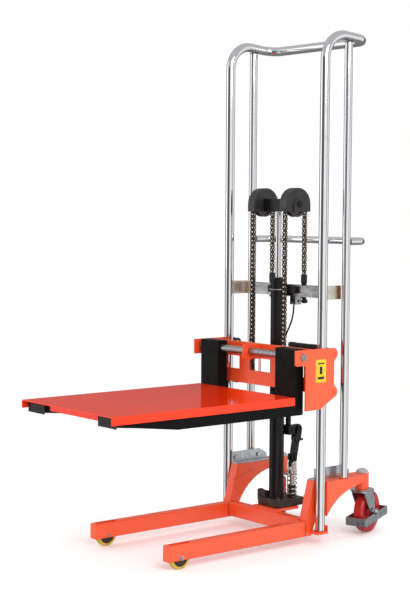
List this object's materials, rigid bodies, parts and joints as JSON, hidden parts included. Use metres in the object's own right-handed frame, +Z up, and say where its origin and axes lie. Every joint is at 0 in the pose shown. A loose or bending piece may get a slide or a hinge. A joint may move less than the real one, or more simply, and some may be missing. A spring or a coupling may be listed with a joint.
{
  "type": "walkie stacker",
  "caption": "Hand-pumped platform stacker: chromed tube mast, hydraulic ram with chain lift, channel forks with a lift-off deck, straddle legs and swivel casters",
  "frame": {"origin": "Centre of the machine's footprint on the floor, midway between the deck's front edge and the rear caster guard, on the plane of symmetry of the mast", "axes": "+Z up; -Y forward, the way the forks point; +X to the left of an operator who stands behind the mast and looks forward"},
  "size_m": [0.549, 1.2604, 1.7565],
  "materials": {
    "orange_paint": "gloss red-orange powder coat",
    "deck_paint": "high-gloss red enamel",
    "black_paint": "satin black paint",
    "chrome": "polished hard chrome",
    "zinc": "bright zinc plating",
    "steel": "plain machined steel",
    "chain_steel": "oiled roller chain",
    "cast_iron": "oiled dark casting",
    "red_polyurethane": "moulded red polyurethane",
    "amber_polyurethane": "moulded amber polyurethane",
    "grey_plastic": "grey moulded plastic",
    "black_plastic": "black moulded plastic"
  },
  "bodies": {
    "frame": {"cross_beam": "orange_paint", "mast_tube": "chrome", "push_handle": "chrome", "cross_frame": "steel", "lift_cylinder": "black_paint", "pump_block": "cast_iron", "pump_bracket": "black_paint", "release_cable": "black_plastic", "pump_spring": "zinc", "leg_left": "orange_paint", "leg_right": "orange_paint", "arm_left": "orange_paint", "arm_right": "orange_paint", "post_bracket_left": "zinc", "post_bracket_right": "zinc", "stem_cap_left": "grey_plastic", "stem_cap_right": "grey_plastic", "rear_post_left": "chrome", "rear_post_right": "chrome", "caster_race_left": "zinc", "caster_race_right": "zinc", "chain_anchor_left": "black_paint", "chain_anchor_right": "black_paint", "chain_rear_left": "chain_steel", "chain_rear_right": "chain_steel", "roller_axle_left": "steel", "roller_axle_right": "steel"},
    "ram": {"piston_rod": "chrome", "crosshead": "black_paint", "sheave_guard_left": "black_paint", "sheave_guard_right": "black_paint", "chain_front_left": "chain_steel", "chain_front_right": "chain_steel"},
    "sheave_left": {"sheave_left": "steel"},
    "sheave_right": {"sheave_right": "steel"},
    "carriage": {"front_plate": "orange_paint", "fork_rod": "steel", "side_plate_left": "orange_paint", "side_plate_right": "orange_paint", "fork_left": "black_paint", "fork_right": "black_paint"},
    "deck": {"deck": "deck_paint"},
    "pump_lever": {"pump_lever": "black_paint"},
    "pump_link": {"pump_link": "black_paint"},
    "pump_plunger": {"pump_plunger": "zinc"},
    "release_lever": {"release_lever": "black_paint"},
    "guide_roller_upper_left": {"guide_roller_upper_left": "black_plastic"},
    "guide_roller_lower_left": {"guide_roller_lower_left": "black_plastic"},
    "caster_left": {"caster_fork_left": "zinc", "caster_guard_left": "zinc", "caster_axle_left": "zinc"},
    "caster_wheel_left": {"caster_wheel_left": "red_polyurethane"},
    "load_roller_left": {"load_roller_left": "amber_polyurethane"},
    "guide_roller_upper_right": {"guide_roller_upper_right": "black_plastic"},
    "guide_roller_lower_right": {"guide_roller_lower_right": "black_plastic"},
    "caster_right": {"caster_fork_right": "zinc", "caster_guard_right": "zinc", "caster_axle_right": "zinc"},
    "caster_wheel_right": {"caster_wheel_right": "red_polyurethane"},
    "load_roller_right": {"load_roller_right": "amber_polyurethane"}
  },
  "joints": [
    {"name": "ram_slide", "type": "slide", "parent": "frame", "child": "ram", "axis": [0, 0, 1], "range_m": [-0.14, 0.48], "deforming": ["chain_rear_left", "chain_rear_right"]},
    {"name": "carriage_slide", "type": "slide", "parent": "ram", "child": "carriage", "axis": [0, 0, 1], "range_m": [-0.14, 0.48], "deforming": ["chain_front_left", "chain_front_right"]},
    {"name": "deck_lift", "type": "slide", "parent": "carriage", "child": "deck", "axis": [0, 0, 1], "range_m": [0, 0.09]},
    {"name": "pump_lever_pivot", "type": "hinge", "parent": "frame", "child": "pump_lever", "pos_m": [0.012, 0.31682, 0.365], "axis": [-1, 0, 0], "range_deg": [0, 25], "stiffness_Nm_per_rad": 6, "springref_deg": -34.38},
    {"name": "pump_link_pivot", "type": "hinge", "parent": "pump_lever", "child": "pump_link", "pos_m": [0.012, 0.36182, 0.365], "axis": [-1, 0, 0], "range_deg": [-28, 1]},
    {"name": "pump_plunger_slide", "type": "slide", "parent": "frame", "child": "pump_plunger", "axis": [0, 0, -1], "range_m": [0, 0.0205], "deforming": ["pump_spring"]},
    {"name": "release_lever_pivot", "type": "hinge", "parent": "frame", "child": "release_lever", "pos_m": [0.04, 0.31982, 0.828], "axis": [1, 0, 0], "range_deg": [0, 25], "stiffness_Nm_per_rad": 0.4, "springref_deg": -28.65},
    {"name": "sheave_spin_left", "type": "hinge", "parent": "ram", "child": "sheave_left", "pos_m": [0.0833, 0.27232, 1.168], "axis": [1, 0, 0], "range_deg": [-600, 175]},
    {"name": "guide_roller_upper_left_spin", "type": "hinge", "parent": "carriage", "child": "guide_roller_upper_left", "pos_m": [0.245, 0.28762, 0.66], "axis": [1, 0, 0], "continuous": true},
    {"name": "guide_roller_lower_left_spin", "type": "hinge", "parent": "carriage", "child": "guide_roller_lower_left", "pos_m": [0.245, 0.28762, 0.53], "axis": [1, 0, 0], "continuous": true},
    {"name": "caster_swivel_left", "type": "hinge", "parent": "frame", "child": "caster_left", "pos_m": [0.212, 0.49182, 0.1565], "axis": [0, 0, 1], "continuous": true},
    {"name": "caster_wheel_spin_left", "type": "hinge", "parent": "caster_left", "child": "caster_wheel_left", "pos_m": [0.19964, 0.52987, 0.075], "axis": [0.9511, 0.309, 0], "continuous": true},
    {"name": "load_roller_spin_left", "type": "hinge", "parent": "frame", "child": "load_roller_left", "pos_m": [0.2015, -0.32918, 0.0375], "axis": [1, 0, 0], "continuous": true},
    {"name": "sheave_spin_right", "type": "hinge", "parent": "ram", "child": "sheave_right", "pos_m": [-0.0833, 0.27232, 1.168], "axis": [1, 0, 0], "range_deg": [-600, 175]},
    {"name": "guide_roller_upper_right_spin", "type": "hinge", "parent": "carriage", "child": "guide_roller_upper_right", "pos_m": [-0.245, 0.28762, 0.66], "axis": [1, 0, 0], "continuous": true},
    {"name": "guide_roller_lower_right_spin", "type": "hinge", "parent": "carriage", "child": "guide_roller_lower_right", "pos_m": [-0.245, 0.28762, 0.53], "axis": [1, 0, 0], "continuous": true},
    {"name": "caster_swivel_right", "type": "hinge", "parent": "frame", "child": "caster_right", "pos_m": [-0.212, 0.49182, 0.1565], "axis": [0, 0, 1], "continuous": true},
    {"name": "caster_wheel_spin_right", "type": "hinge", "parent": "caster_right", "child": "caster_wheel_right", "pos_m": [-0.18323, 0.46404, 0.075], "axis": [-0.6947, -0.7193, 0], "continuous": true},
    {"name": "load_roller_spin_right", "type": "hinge", "parent": "frame", "child": "load_roller_right", "pos_m": [-0.2015, -0.32918, 0.0375], "axis": [1, 0, 0], "continuous": true}
  ],
  "couplings": [
    {"joint": "carriage_slide", "follows": "ram_slide", "ratio": 1},
    {"joint": "sheave_spin_left", "follows": "ram_slide", "rad_per_m": -21.505},
    {"joint": "sheave_spin_right", "follows": "ram_slide", "rad_per_m": -21.505},
    {"joint": "pump_link_pivot", "follows": "pump_lever_pivot", "ratio": -1.07},
    {"joint": "pump_plunger_slide", "follows": "pump_lever_pivot", "m_per_rad": 0.045}
  ]
}
